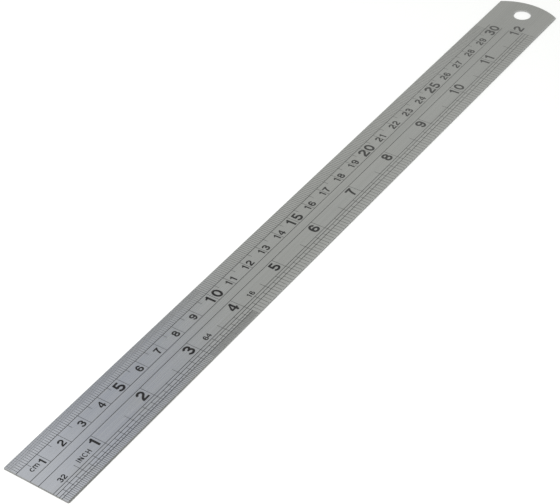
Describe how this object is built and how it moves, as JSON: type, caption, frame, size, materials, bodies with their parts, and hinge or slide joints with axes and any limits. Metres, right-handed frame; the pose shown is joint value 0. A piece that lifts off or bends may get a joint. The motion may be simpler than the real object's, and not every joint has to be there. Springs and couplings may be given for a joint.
{
  "type": "steel ruler",
  "caption": "Flat steel ruler with filled metric and inch scales on one face, a square datum end, and a hanging hole in its rounded end.",
  "frame": {"origin": "centre of the strip's box, on the underside it lies on", "axes": "+X from the square datum end to the rounded end with the hole, +Y to the metric edge, +Z out of the marked face"},
  "size_m": [0.327, 0.0262, 0.0007],
  "materials": {
    "stainless_steel": "satin, finely brushed along its length",
    "black_enamel": "baked black enamel wiped into the etched marks"
  },
  "bodies": {
    "root": {"blade": "stainless_steel", "metric_scale_enamel": "black_enamel", "inch_scale_enamel": "black_enamel"}
  },
  "joints": []
}
